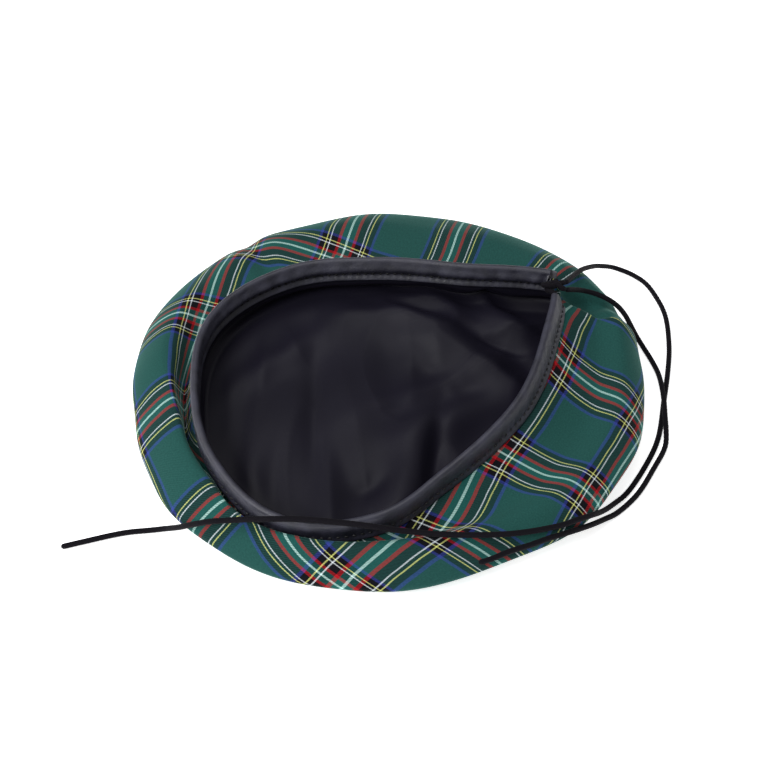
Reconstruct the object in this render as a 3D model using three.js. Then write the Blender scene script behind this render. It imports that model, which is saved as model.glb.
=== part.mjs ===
// A tartan tam o shanter that lies upside down on its crown, with its head opening up.
// Millimetres, +Z up. The origin is on the flat crown, under the middle of the cap's outline.
// +Y points away from the viewer, and the back notch is at the far right.
import * as THREE from 'three';

// Driving sizes of the cloth cap
const crownRadius = 131;
const openingRadius = 90;
const openingAcross = -6;
const openingAway = -29;
const crownAcross = 1.0;
const crownAway = 1.9;
const rimHeight = 50;
const clothWall = 1.2;
const seamGap = 0.4;
const crownTurnUp = 15;

// The folded leather binding of the head opening
const bindingWidth = 13;
const leatherWall = 1.0;
const pieceGap = 0.3;
const clothInBinding = 7;

// The satin lining
const liningWall = 1.0;
const liningFloor = 5.5;
const liningBelly = 6;
const liningCorner = 12;

// The drawstring
const cordDiameter = 2.8;
const cordStep = 11.5;
const knotLength = 11;
const knotThickness = 6;
const knotAlongGap = 0.62;
const knotInwards = 0.8;
const knotBelowRim = 1.6;

// Mesh steps
const stepsBetweenRows = 4;
const ringProfileSteps = 15;
const crownProfileSteps = 5;
const liningWallSteps = 5;
const liningFloorSteps = 6;
const cordSides = 8;

// One row for each section of the cap, counterclockwise from the back notch.
// rim_at and edge_at are degrees about the opening's and the cap's middle. rim_out is a share of
// openingRadius and edge_out of crownRadius. The columns that end in up are shares of rimHeight.
// valley_in and lip_in are shares of the way from the binding to the edge. lean is how far the
// binding's top leans inwards, in degrees, and tuck is how far the crown seam lies in from the edge,
// as a share of crownRadius.
const SECTIONS = [
  { rim_at: 37.9, rim_out: 1.358, rim_up: 0.98, lean: 6, edge_at: 25, edge_out: 1.012, edge_up: 0.38,
    valley_in: 0.40, valley_up: 0.62, lip_in: 0.74, lip_up: 0.60, tuck: 0.045, seam_up: 0.12 },
  { rim_at: 60, rim_out: 1.035, rim_up: 1.00, lean: 2, edge_at: 62, edge_out: 0.990, edge_up: 0.36,
    valley_in: 0.34, valley_up: 0.64, lip_in: 0.74, lip_up: 0.58, tuck: 0.045, seam_up: 0.12 },
  { rim_at: 90, rim_out: 0.953, rim_up: 1.00, lean: 0, edge_at: 91, edge_out: 0.997, edge_up: 0.34,
    valley_in: 0.34, valley_up: 0.62, lip_in: 0.74, lip_up: 0.58, tuck: 0.045, seam_up: 0.12 },
  { rim_at: 120, rim_out: 1.032, rim_up: 0.97, lean: 0, edge_at: 126, edge_out: 1.000, edge_up: 0.34,
    valley_in: 0.30, valley_up: 0.58, lip_in: 0.72, lip_up: 0.58, tuck: 0.05, seam_up: 0.11 },
  { rim_at: 150, rim_out: 1.073, rim_up: 0.92, lean: 0, edge_at: 162, edge_out: 1.018, edge_up: 0.33,
    valley_in: 0.24, valley_up: 0.52, lip_in: 0.62, lip_up: 0.60, tuck: 0.06, seam_up: 0.08 },
  { rim_at: 180, rim_out: 0.998, rim_up: 0.84, lean: 0, edge_at: 192, edge_out: 1.010, edge_up: 0.32,
    valley_in: 0.22, valley_up: 0.44, lip_in: 0.50, lip_up: 0.62, tuck: 0.07, seam_up: 0.06 },
  { rim_at: 210, rim_out: 0.990, rim_up: 0.74, lean: 0, edge_at: 217, edge_out: 1.042, edge_up: 0.28,
    valley_in: 0.26, valley_up: 0.38, lip_in: 0.50, lip_up: 0.54, tuck: 0.075, seam_up: 0.05 },
  { rim_at: 240, rim_out: 0.983, rim_up: 0.64, lean: 0, edge_at: 243, edge_out: 1.054, edge_up: 0.25,
    valley_in: 0.32, valley_up: 0.32, lip_in: 0.55, lip_up: 0.47, tuck: 0.075, seam_up: 0.05 },
  { rim_at: 270, rim_out: 0.832, rim_up: 0.62, lean: 2, edge_at: 270, edge_out: 1.022, edge_up: 0.24,
    valley_in: 0.26, valley_up: 0.28, lip_in: 0.48, lip_up: 0.46, tuck: 0.075, seam_up: 0.05 },
  { rim_at: 300, rim_out: 0.678, rim_up: 0.70, lean: 6, edge_at: 293, edge_out: 0.990, edge_up: 0.24,
    valley_in: 0.36, valley_up: 0.36, lip_in: 0.66, lip_up: 0.45, tuck: 0.06, seam_up: 0.07 },
  { rim_at: 330, rim_out: 0.690, rim_up: 0.80, lean: 12, edge_at: 314, edge_out: 1.008, edge_up: 0.28,
    valley_in: 0.46, valley_up: 0.43, lip_in: 0.76, lip_up: 0.48, tuck: 0.055, seam_up: 0.08 },
  { rim_at: 360, rim_out: 0.832, rim_up: 0.90, lean: 22, edge_at: 338, edge_out: 1.004, edge_up: 0.32,
    valley_in: 0.48, valley_up: 0.50, lip_in: 0.78, lip_up: 0.53, tuck: 0.05, seam_up: 0.10 },
  { rim_at: 380, rim_out: 1.003, rim_up: 0.96, lean: 27, edge_at: 357, edge_out: 0.998, edge_up: 0.35,
    valley_in: 0.48, valley_up: 0.54, lip_in: 0.78, lip_up: 0.56, tuck: 0.045, seam_up: 0.11 },
  { rim_at: 393.6, rim_out: 1.228, rim_up: 0.98, lean: 24, edge_at: 374, edge_out: 1.004, edge_up: 0.37,
    valley_in: 0.46, valley_up: 0.58, lip_in: 0.76, lip_up: 0.61, tuck: 0.045, seam_up: 0.12 },
];

// Pinched pleats in the edge: the crease at the back seam and one at the far left.
// at and width are degrees about the cap's middle, dent is a share of crownRadius, sink of rimHeight.
const PLEATS = [
  { at: 379, width: 3.0, dent: 0.004, sink: 0.09 },
  { at: 128.4, width: 3.5, dent: 0.010, sink: 0.05 },
];

// Soft folds in the satin floor. across and away place the middle, turn is the direction of its
// length in degrees, and all lengths are shares of openingRadius, but rise is a share of rimHeight.
const LINING_FOLDS = [
  { across: -0.10, away: 0.10, turn: 20, length: 0.60, width: 0.42, rise: 0.16 },
  { across: 0.55, away: 0.45, turn: 145, length: 0.50, width: 0.13, rise: 0.14 },
  { across: 0.16, away: -0.42, turn: 75, length: 0.42, width: 0.14, rise: 0.13 },
  { across: -0.30, away: -0.55, turn: 100, length: 0.40, width: 0.15, rise: 0.09 },
  { across: 0.42, away: 0.02, turn: 30, length: 0.40, width: 0.12, rise: 0.10 },
];

// The two free ends, from the knot outwards, chosen by hand: out from the notch over the cloth,
// down to the surface beside the cap, and back over the near side of the cap.
const LONG_END = [
  [93, 39, 48.2], [98.7, 52.5, 41], [105.1, 67.3, 32.5], [112.6, 82.2, 22], [119.7, 93.6, 13],
  [130.9, 103, 3.5], [139.9, 99.9, 1.6], [147, 92.1, 1.6], [151.7, 80, 1.6], [154.7, 64.9, 1.6],
  [153.6, 40.6, 1.6], [150.5, 21.9, 1.6], [145.2, -1.4, 1.6], [138.3, -29.3, 1.6],
  [129.9, -47.2, 1.6], [118.2, -65.7, 1.6], [111, -74.3, 4], [103.4, -84.4, 10], [96.1, -93, 17],
  [89.3, -97.6, 19.5], [79.3, -102.8, 21], [60.1, -108.6, 23], [41.8, -111.2, 24.8],
  [23.3, -111.9, 26.3], [5.3, -112, 29], [-8.5, -112, 32.2], [-24.9, -110.4, 33.2],
  [-41, -109, 33.6], [-53.5, -108.3, 32.8], [-66.2, -106.3, 30], [-74.8, -104.7, 27.4],
  [-83.5, -103.8, 25.4], [-91.4, -101.6, 20.8], [-99.6, -96.8, 12.8], [-107, -91.2, 5],
  [-114.8, -89.4, 1.6], [-127.5, -91.1, 1.6], [-146.9, -96.7, 1.6], [-156.5, -99.7, 1.6],
];
const SHORT_END = [
  [93, 35.5, 46.2], [99.2, 42.3, 40.2], [105, 46.6, 35.6], [111.5, 47, 33], [117.6, 45.4, 30.8],
  [123, 44.2, 27], [127.8, 44, 20.6], [131.6, 43.8, 13.4], [135, 43, 7], [138.6, 38.8, 2.8],
  [142.2, 29.5, 1.6], [144.5, 18, 2.4], [144.6, 4.7, 4.5], [144.1, -6.2, 5.2], [143.3, -15.9, 5],
  [142.9, -24.7, 3.2], [141.4, -34.2, 1.7], [133.7, -49.2, 1.6], [122.9, -67, 1.6],
  [111.7, -78.8, 1.8], [104.3, -85.5, 5], [97.3, -92.8, 10], [89.5, -99.5, 14.5], [82.8, -104, 17],
  [75.4, -107.3, 17.8], [65.8, -111.7, 18], [56.7, -115.2, 18], [47.3, -119.6, 17.6],
  [41.6, -121.7, 17.4],
];

const COLOURS = {
  tartan: 0x24594a,
  leather: 0x35353c,
  satin: 0x201f28,
  cord: 0x17140f,
};

const radians = THREE.MathUtils.degToRad;
const rowCount = SECTIONS.length;

// A smooth value of one column between the rows. Past the ends the rows go on round the cap.
function columnAt(name, station, turnsRound) {
  const row = Math.floor(station);
  const share = station - row;
  const value = (index) => {
    if (!turnsRound) return SECTIONS[THREE.MathUtils.clamp(index, 0, rowCount - 1)][name];
    const turns = Math.floor(index / rowCount);
    const wrapped = SECTIONS[index - turns * rowCount][name];
    return name.endsWith('_at') ? wrapped + 360 * turns : wrapped;
  };
  const [before, from, to, after] = [row - 1, row, row + 1, row + 2].map(value);
  const startSlope = (to - before) / 2;
  const endSlope = (after - from) / 2;
  const square = share * share;
  const cube = square * share;
  return from * (2 * cube - 3 * square + 1) + startSlope * (cube - 2 * square + share)
    + to * (3 * square - 2 * cube) + endSlope * (cube - square);
}

// The top middle line of the binding, from one cut end to the other.
function rimPoint(station) {
  const at = radians(columnAt('rim_at', station, false));
  const out = openingRadius * columnAt('rim_out', station, false);
  return new THREE.Vector3(
    openingAcross + out * Math.cos(at),
    openingAway + out * Math.sin(at),
    rimHeight * columnAt('rim_up', station, false),
  );
}

// The binding's own directions at a station: along it, outwards and up its width.
function rimFrame(station) {
  const last = rowCount - 1;
  const nudge = 0.05;
  const before = rimPoint(Math.max(station - nudge, 0));
  const after = rimPoint(Math.min(station + nudge, last));
  const along = after.sub(before).setZ(0).normalize();
  const out = new THREE.Vector3(along.y, -along.x, 0);
  const lean = radians(columnAt('lean', station, false));
  const up = new THREE.Vector3(0, 0, Math.cos(lean)).addScaledVector(out, -Math.sin(lean));
  const across = new THREE.Vector3().crossVectors(along, up).normalize();
  return { top: rimPoint(station), along, across, up };
}

// A point of the binding's section: how far outwards and how far below the top line.
function bindingPoint(frame, outward, below) {
  return frame.top.clone().addScaledVector(frame.across, outward).addScaledVector(frame.up, -below);
}

function pleatAt(degrees, depth) {
  return PLEATS.reduce((sum, pleat) => {
    const away = THREE.MathUtils.euclideanModulo(degrees - pleat.at + 180, 360) - 180;
    return sum + pleat[depth] * Math.exp(-((away / pleat.width) ** 2));
  }, 0);
}

// A point at a height above the crown, out from the cap's middle.
function crownPoint(direction, out, height) {
  return new THREE.Vector3(crownAcross, crownAway, height).addScaledVector(direction, out);
}

// The places of one section of the cap that the ring, the crown and the lining share.
function sectionAt(station) {
  const last = rowCount - 1;
  const closing = Math.max(station - last, 0);
  const frameEnd = rimFrame(Math.min(station, last));
  const frame = closing > 0 ? blendFrames(frameEnd, rimFrame(0), closing) : frameEnd;
  const column = (name) => columnAt(name, station, true);
  const edgeAt = column('edge_at');
  const sink = pleatAt(edgeAt, 'sink') * rimHeight;
  const edgeOut = crownRadius * (column('edge_out') - pleatAt(edgeAt, 'dent'));
  const direction = new THREE.Vector3(Math.cos(radians(edgeAt)), Math.sin(radians(edgeAt)), 0);
  const edge = crownPoint(direction, edgeOut, rimHeight * column('edge_up') - sink / 2);
  const bottom = bindingPoint(frame, 0, bindingWidth);
  const between = (share, height) => bottom.clone().lerp(edge, share).setZ(height);
  const valley = between(column('valley_in'), rimHeight * column('valley_up') - sink);
  const lip = between(column('lip_in'), rimHeight * column('lip_up') - sink);
  const seamOut = edgeOut - crownRadius * column('tuck');
  const seam = crownPoint(direction, seamOut, rimHeight * column('seam_up'));
  return { frame, direction, valley, lip, edge, seam, seamOut };
}

function blendFrames(from, to, share) {
  const mix = (name) => from[name].clone().lerp(to[name], share);
  return {
    top: mix('top'),
    along: mix('along').normalize(),
    across: mix('across').normalize(),
    up: mix('up').normalize(),
  };
}

// A closed body from sections of the same number of points, with flat ends or joined end to end.
function loft(sections, joined) {
  const around = sections[0].length;
  const positions = sections.flat().flatMap((point) => [point.x, point.y, point.z]);
  const index = [];
  const spans = joined ? sections.length : sections.length - 1;
  for (let i = 0; i < spans; i += 1) {
    const next = (i + 1) % sections.length;
    for (let j = 0; j < around; j += 1) {
      const k = (j + 1) % around;
      const a = i * around + j;
      const b = i * around + k;
      const c = next * around + j;
      const d = next * around + k;
      index.push(a, b, d, a, d, c);
    }
  }
  if (!joined) index.push(...endCaps(sections));
  return facingOut(positions, index);
}

function endCaps(sections) {
  const around = sections[0].length;
  const caps = [];
  for (const [row, flip] of [[0, false], [sections.length - 1, true]]) {
    const section = sections[row];
    const middle = section.reduce((sum, p) => sum.add(p), new THREE.Vector3()).divideScalar(around);
    const normal = newell(section);
    const side = section[0].clone().sub(middle).projectOnPlane(normal).normalize();
    const rise = new THREE.Vector3().crossVectors(normal, side);
    const flat = section.map((p) => {
      const from = p.clone().sub(middle);
      return new THREE.Vector2(from.dot(side), from.dot(rise));
    });
    for (const [a, b, c] of THREE.ShapeUtils.triangulateShape(flat, [])) {
      const corners = flip ? [a, b, c] : [c, b, a];
      caps.push(...corners.map((corner) => row * around + corner));
    }
  }
  return caps;
}

function newell(section) {
  const normal = new THREE.Vector3();
  section.forEach((p, i) => {
    const q = section[(i + 1) % section.length];
    normal.x += (p.y - q.y) * (p.z + q.z);
    normal.y += (p.z - q.z) * (p.x + q.x);
    normal.z += (p.x - q.x) * (p.y + q.y);
  });
  return normal.normalize();
}

// The same triangles, turned so that the body's faces point out.
function facingOut(positions, index) {
  const corner = (i) => new THREE.Vector3().fromArray(positions, 3 * i);
  let volume = 0;
  for (let i = 0; i < index.length; i += 3) {
    const [a, b, c] = [index[i], index[i + 1], index[i + 2]].map(corner);
    volume += a.dot(b.cross(c));
  }
  if (volume < 0) {
    for (let i = 0; i < index.length; i += 3) {
      [index[i + 1], index[i + 2]] = [index[i + 2], index[i + 1]];
    }
  }
  const geometry = new THREE.BufferGeometry();
  geometry.setAttribute('position', new THREE.Float32BufferAttribute(positions, 3));
  geometry.setIndex(index);
  geometry.computeVertexNormals();
  return geometry;
}

// A wall of even thickness about a middle surface. Each line of the surface runs from the outside
// in, and the lines go once round the cap. With a pole, all lines end in one middle point.
function clothWallAbout(lines, thickness, pole) {
  const count = lines.length;
  const steps = lines[0].length;
  const at = (i, j) => lines[(i + count) % count][THREE.MathUtils.clamp(j, 0, steps - 1)];
  const positions = [];
  for (const side of [0.5, -0.5]) {
    for (let i = 0; i < count; i += 1) {
      for (let j = 0; j < steps; j += 1) {
        const round = at(i + 1, j).clone().sub(at(i - 1, j));
        const inwards = at(i, j + 1).clone().sub(at(i, j - 1));
        const normal = round.cross(inwards).normalize();
        const point = at(i, j).clone().addScaledVector(normal, side * thickness);
        positions.push(point.x, point.y, point.z);
      }
    }
  }
  const wall = count * steps;
  const poleTop = 2 * wall;
  if (pole) {
    for (const side of [0.5, -0.5]) positions.push(pole.x, pole.y, pole.z + side * thickness);
  }
  const index = [];
  const quad = (a, b, c, d) => index.push(a, b, c, a, c, d);
  for (let i = 0; i < count; i += 1) {
    const n = (i + 1) % count;
    for (let j = 0; j < steps - 1; j += 1) {
      quad(i * steps + j, i * steps + j + 1, n * steps + j + 1, n * steps + j);
      quad(wall + i * steps + j, wall + n * steps + j, wall + n * steps + j + 1, wall + i * steps + j + 1);
    }
    quad(i * steps, n * steps, wall + n * steps, wall + i * steps);
    const end = steps - 1;
    if (pole) {
      index.push(i * steps + end, poleTop, n * steps + end);
      index.push(wall + i * steps + end, wall + n * steps + end, poleTop + 1);
    } else {
      quad(i * steps + end, wall + i * steps + end, wall + n * steps + end, n * steps + end);
    }
  }
  return facingOut(positions, index);
}

const stationsOpen = [];
for (let i = 0; i <= (rowCount - 1) * stepsBetweenRows; i += 1) stationsOpen.push(i / stepsBetweenRows);
const stationsRound = stationsOpen.concat(
  [1, 2].map((step) => rowCount - 1 + step / 3),
);
const sectionsRound = stationsRound.map(sectionAt);

// Underside ring: from inside the binding, down the valley, over the lip and the edge to the seam.
function ringLine({ frame, valley, lip, edge, seam }) {
  const clear = clothWall / 2 + pieceGap;
  const points = [
    bindingPoint(frame, 0, bindingWidth - clothInBinding),
    bindingPoint(frame, 0, bindingWidth),
    bindingPoint(frame, clear / 2, bindingWidth + clear),
    valley, lip, edge, seam,
  ];
  return new THREE.CatmullRomCurve3(points).getPoints(ringProfileSteps + 3);
}

// Crown panel: from the seam down to the surface and flat to the middle.
function crownLine({ direction, seamOut }, ringEnd) {
  const [before, end] = ringEnd.slice(-2);
  const onward = end.clone().sub(before).normalize();
  const start = end.clone().addScaledVector(onward, seamGap);
  const flatRadius = seamOut - crownTurnUp;
  const flat = (share) => crownPoint(direction, flatRadius * share, clothWall / 2);
  const turn = new THREE.QuadraticBezierCurve3(
    start,
    crownPoint(direction, flatRadius + crownTurnUp * 0.55, clothWall / 2),
    flat(1),
  );
  return [...turn.getPoints(crownProfileSteps), flat(0.66), flat(0.33)];
}

// Lining: a bag that hangs from the binding's inner edge and lies over the crown.
function foldRise(x, y) {
  return LINING_FOLDS.reduce((sum, fold) => {
    const dx = x - openingAcross - fold.across * openingRadius;
    const dy = y - openingAway - fold.away * openingRadius;
    const turn = radians(fold.turn);
    const along = (dx * Math.cos(turn) + dy * Math.sin(turn)) / (fold.length * openingRadius);
    const aside = (dy * Math.cos(turn) - dx * Math.sin(turn)) / (fold.width * openingRadius);
    return sum + fold.rise * rimHeight * Math.exp(-(along * along + aside * aside));
  }, 0);
}

function liningLine({ frame }) {
  const middle = new THREE.Vector3(openingAcross, openingAway, 0);
  const outOfBinding = -(clothWall / 2 + pieceGap + leatherWall / 2);
  const start = bindingPoint(frame, outOfBinding, bindingWidth + pieceGap + liningWall / 2);
  const outward = frame.across.clone().setZ(0).normalize();
  const belly = start.clone().addScaledVector(outward, liningBelly);
  belly.z = liningFloor + (start.z - liningFloor) * 0.45;
  const corner = start.clone().addScaledVector(outward, liningBelly - liningCorner * 0.6);
  corner.z = liningFloor;
  const wallPoints = [start, start.clone().setZ(start.z - 3), belly, corner];
  const wallLine = new THREE.CatmullRomCurve3(wallPoints).getPoints(liningWallSteps);
  const floorLine = [];
  for (let j = 1; j < liningFloorSteps; j += 1) {
    const point = corner.clone().lerp(middle.clone().setZ(liningFloor), j / liningFloorSteps);
    const fade = THREE.MathUtils.smoothstep(j / liningFloorSteps, 0, 0.3);
    point.z += fade * foldRise(point.x, point.y);
    floorLine.push(point);
  }
  return [...wallLine, ...floorLine];
}

// The binding is cut a little short of the cloth at the notch, so that its two ends stand open.
const cutShort = 0.06;
const stationsBinding = [cutShort, ...stationsOpen.slice(1, -1), rowCount - 1 - cutShort];

// Binding: leather folded over the edge, an upside-down U that holds the cloth and the drawstring.
function bindingSection(station) {
  const frame = rimFrame(station);
  const inside = clothWall / 2 + pieceGap;
  const outside = inside + leatherWall;
  const profile = [
    [outside, bindingWidth], [outside, 1.4], [outside * 0.45, 0], [-outside * 0.45, 0],
    [-outside, 1.4], [-outside, bindingWidth], [-inside, bindingWidth],
    [-inside, 1.8], [0, leatherWall], [inside, 1.8], [inside, bindingWidth],
  ];
  return profile.map(([outward, below]) => bindingPoint(frame, outward, below));
}

// Hidden drawstring: the cord, flattened in the fold above the cloth's edge.
function hiddenCordSection(station) {
  const frame = rimFrame(station);
  const half = clothWall / 2;
  const top = leatherWall + pieceGap + 0.9;
  const bottom = bindingWidth - clothInBinding - pieceGap;
  return [[half, top + 0.8], [0, top], [-half, top + 0.8], [-half, bottom - 0.8], [0, bottom], [half, bottom - 0.8]]
    .map(([outward, below]) => bindingPoint(frame, outward, below));
}

function cordAlong(points) {
  const curve = new THREE.CatmullRomCurve3(points.map((p) => new THREE.Vector3(...p)));
  const section = new THREE.Shape();
  for (let i = 0; i < cordSides; i += 1) {
    const turn = 2 * Math.PI * (i + 0.5) / cordSides;
    const radius = cordDiameter / 2;
    if (i === 0) section.moveTo(radius * Math.cos(turn), radius * Math.sin(turn));
    else section.lineTo(radius * Math.cos(turn), radius * Math.sin(turn));
  }
  section.closePath();
  const steps = Math.round(curve.getLength() / cordStep);
  return new THREE.ExtrudeGeometry(section, { steps, extrudePath: curve, curveSegments: 1 });
}

// The half knot, as the rounded lump that its crossed strands fill. It sits between the binding's ends.
function knotLump() {
  const geometry = new THREE.SphereGeometry(0.5, 10, 6);
  geometry.scale(knotLength, knotThickness, knotThickness);
  return geometry;
}

const knotPlace = rimPoint(0).lerp(rimPoint(rowCount - 1), knotAlongGap);
knotPlace.x -= knotInwards;
knotPlace.z -= knotBelowRim;

function piece(name, geometry, colour, roughness) {
  const material = new THREE.MeshStandardMaterial({ color: COLOURS[colour], roughness, metalness: 0 });
  const mesh = new THREE.Mesh(geometry, material);
  mesh.name = name;
  return mesh;
}

const ringLines = sectionsRound.map(ringLine);
const crownLines = sectionsRound.map((section, i) => crownLine(section, ringLines[i]));
const liningLines = sectionsRound.map(liningLine);
const crownPole = new THREE.Vector3(crownAcross, crownAway, clothWall / 2);
const liningPole = new THREE.Vector3(
  openingAcross, openingAway, liningFloor + foldRise(openingAcross, openingAway),
);

const cap = new THREE.Group();
cap.add(
  piece('crown_panel', clothWallAbout(crownLines, clothWall, crownPole), 'tartan', 0.95),
  piece('underside_ring', clothWallAbout(ringLines, clothWall, null), 'tartan', 0.95),
  piece('lining', clothWallAbout(liningLines, liningWall, liningPole), 'satin', 0.45),
  piece('sweatband', loft(stationsBinding.map(bindingSection), false), 'leather', 0.5),
  piece('drawstring_hidden', loft(stationsBinding.map(hiddenCordSection), false), 'cord', 0.9),
  piece('drawstring_long', cordAlong(LONG_END), 'cord', 0.9),
  piece('drawstring_short', cordAlong(SHORT_END), 'cord', 0.9),
);

const knot = piece('drawstring_knot', knotLump(), 'cord', 0.9);
knot.position.copy(knotPlace);
cap.add(knot);

export default cap;
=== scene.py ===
# A tartan tam o shanter that lies upside down on its crown, with its head opening up.
# Shapes are worked out in millimetres and turned to metres as each mesh is made.
import math

import bmesh
import bpy
import numpy as np
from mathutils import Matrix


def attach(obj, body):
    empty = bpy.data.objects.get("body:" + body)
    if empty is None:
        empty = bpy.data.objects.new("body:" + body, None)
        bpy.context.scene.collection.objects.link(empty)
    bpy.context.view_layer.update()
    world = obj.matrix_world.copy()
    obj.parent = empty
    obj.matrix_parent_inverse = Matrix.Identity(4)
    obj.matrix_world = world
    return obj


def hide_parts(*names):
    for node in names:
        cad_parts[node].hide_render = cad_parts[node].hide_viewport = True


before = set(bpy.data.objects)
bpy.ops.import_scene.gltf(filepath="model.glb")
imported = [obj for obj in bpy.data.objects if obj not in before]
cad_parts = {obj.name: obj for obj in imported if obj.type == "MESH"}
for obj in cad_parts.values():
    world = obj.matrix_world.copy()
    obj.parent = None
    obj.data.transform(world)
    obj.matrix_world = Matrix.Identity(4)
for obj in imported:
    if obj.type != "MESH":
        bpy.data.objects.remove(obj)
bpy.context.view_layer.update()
scene = bpy.context.scene

# Camera
# In front of the cap and above it, looking down at 45 degrees, as the photograph was taken.
camera_data = bpy.data.cameras.new("camera")
camera_data.lens = 68.53
camera_data.sensor_width = 36
camera = bpy.data.objects.new("camera", camera_data)
camera.location = (-0.00205, -0.53903, 0.55113)
camera.rotation_euler = (math.radians(45), 0, 0)
scene.collection.objects.link(camera)
scene.camera = camera


# Drawstring, the two free ends
# A round braided cord of black cotton, 2.8 mm thick, that runs in the fold of the binding and
# comes out at the back notch. It is half knotted there and otherwise lies loose.
cord_thickness = 2.8
cord_sides = 12
cord_step = 0.8
fine_places = 24
# The braid's strands: the length of one turn, how many go each way, how far they stand out and
# their mean height. A tip is rounded off down to a share of the cord's thickness.
braid_repeat = 2.6
braid_strands = 3
braid_depth = 0.1
braid_mean = 0.7
smallest_tip = 0.4
LONG_END = [
    [93, 39, 48.2], [98.7, 52.5, 41], [105.1, 67.3, 32.5], [112.6, 82.2, 22], [119.7, 93.6, 13],
    [130.9, 103, 3.5], [139.9, 99.9, 1.6], [147, 92.1, 1.6], [151.7, 80, 1.6], [154.7, 64.9, 1.6],
    [153.6, 40.6, 1.6], [150.5, 21.9, 1.6], [145.2, -1.4, 1.6], [138.3, -29.3, 1.6],
    [129.9, -47.2, 1.6], [118.2, -65.7, 1.6], [111, -74.3, 4], [103.4, -84.4, 10], [96.1, -93, 17],
    [89.3, -97.6, 19.5], [79.3, -102.8, 21], [60.1, -108.6, 23], [41.8, -111.2, 24.8],
    [23.3, -111.9, 26.3], [5.3, -112, 29], [-8.5, -112, 32.2], [-24.9, -110.4, 33.2],
    [-41, -109, 33.6], [-53.5, -108.3, 32.8], [-66.2, -106.3, 30], [-74.8, -104.7, 27.4],
    [-83.5, -103.8, 25.4], [-91.4, -101.6, 20.8], [-99.6, -96.8, 12.8], [-107, -91.2, 5],
    [-114.8, -89.4, 1.6], [-127.5, -91.1, 1.6], [-146.9, -96.7, 1.6], [-156.5, -99.7, 1.6],
]
# The short end leaves the knot below the long one, drops over the edge beside it and ends on the
# cap's near side.
SHORT_END = [
    [93, 35.5, 46.2], [99.2, 42.3, 40.2], [105, 46.6, 35.6], [111.5, 47, 33], [117.6, 45.4, 30.8],
    [123, 44.2, 27], [127.8, 44, 20.6], [131.6, 43.8, 13.4], [135, 43, 7], [138.6, 38.8, 2.8],
    [142.2, 29.5, 1.6], [144.5, 18, 2.4], [144.6, 4.7, 4.5], [144.1, -6.2, 5.2], [143.3, -15.9, 5],
    [142.9, -24.7, 3.2], [141.4, -34.2, 1.7], [133.7, -49.2, 1.6], [122.9, -67, 1.6],
    [111.7, -78.8, 1.8], [104.3, -85.5, 5], [97.3, -92.8, 10], [89.5, -99.5, 14.5], [82.8, -104, 17],
    [75.4, -107.3, 17.8], [65.8, -111.7, 18], [56.7, -115.2, 18], [47.3, -119.6, 17.6],
    [41.6, -121.7, 17.4],
]


def colour(hex_value):
    """An sRGB hex colour as the linear colour that a shader takes."""
    parts = [int(hex_value[i:i + 2], 16) / 255 for i in (1, 3, 5)]
    linear = [p / 12.92 if p <= 0.04045 else ((p + 0.055) / 1.055) ** 2.4 for p in parts]
    return (*linear, 1.0)


def add(tree, kind, inputs=None, stops=(), **settings):
    """A new node of that kind with its settings, with the stops of a ramp, and with its inputs set
    or linked. A node that is given as an input is linked by its first output."""
    node = tree.nodes.new(kind)
    for name, value in settings.items():
        setattr(node, name, value)
    if stops:
        elements = node.color_ramp.elements
        while len(elements) < len(stops):
            elements.new(0.99)
        for element, (share, shade) in zip(elements, stops):
            element.position = share
            element.color = colour(shade)
    for name, value in (inputs or {}).items():
        if isinstance(value, bpy.types.Node):
            value = value.outputs[0]
        if isinstance(value, bpy.types.NodeSocket):
            tree.links.new(value, node.inputs[name])
        else:
            node.inputs[name].default_value = value
    return node


def new_material(name):
    """An empty material and its tree."""
    material = bpy.data.materials.new(name)
    material.use_nodes = True
    material.node_tree.nodes.clear()
    return material, material.node_tree


def unit(vectors):
    """The vectors at a length of one."""
    return vectors / np.maximum(np.linalg.norm(vectors, axis=-1, keepdims=True), 1e-9)


def curve_through(points, shares):
    """Places on a centripetal curve through the points, at shares of the way from 0 to 1."""
    points = np.asarray(points, float)
    last = len(points) - 1

    def root(a, b):
        return np.maximum(np.linalg.norm(a - b, axis=-1, keepdims=True) ** 0.5, 1e-4)

    places = []
    for share in shares:
        i = min(int(share * last), last - 1)
        w = share * last - i
        p1, p2 = points[i], points[i + 1]
        p0 = points[i - 1] if i > 0 else 2 * p1 - p2
        p3 = points[i + 2] if i + 2 <= last else 2 * p2 - p1
        d0, d1, d2 = root(p0, p1), root(p1, p2), root(p2, p3)
        start = ((p1 - p0) / d0 - (p2 - p0) / (d0 + d1) + (p2 - p1) / d1) * d1
        end = ((p2 - p1) / d1 - (p3 - p1) / (d1 + d2) + (p3 - p2) / d2) * d1
        bend = -3 * p1 + 3 * p2 - 2 * start - end
        twist = 2 * p1 - 2 * p2 + start + end
        places.append(p1 + start * w + bend * w ** 2 + twist * w ** 3)
    return np.stack(places, axis=-2)


def run_along(line):
    """How far along the line each of its points is."""
    return np.r_[0, np.cumsum(np.linalg.norm(np.diff(line, axis=0), axis=1))]


def even_line(points, step):
    """A smooth line through the points, cut into equal steps."""
    fine = curve_through(points, np.linspace(0, 1, fine_places * len(points)))
    run = run_along(fine)
    stops = np.linspace(0, run[-1], max(int(run[-1] / step), 2) + 1)
    return np.stack([np.interp(stops, run, fine[:, k]) for k in range(3)], axis=1)


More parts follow.
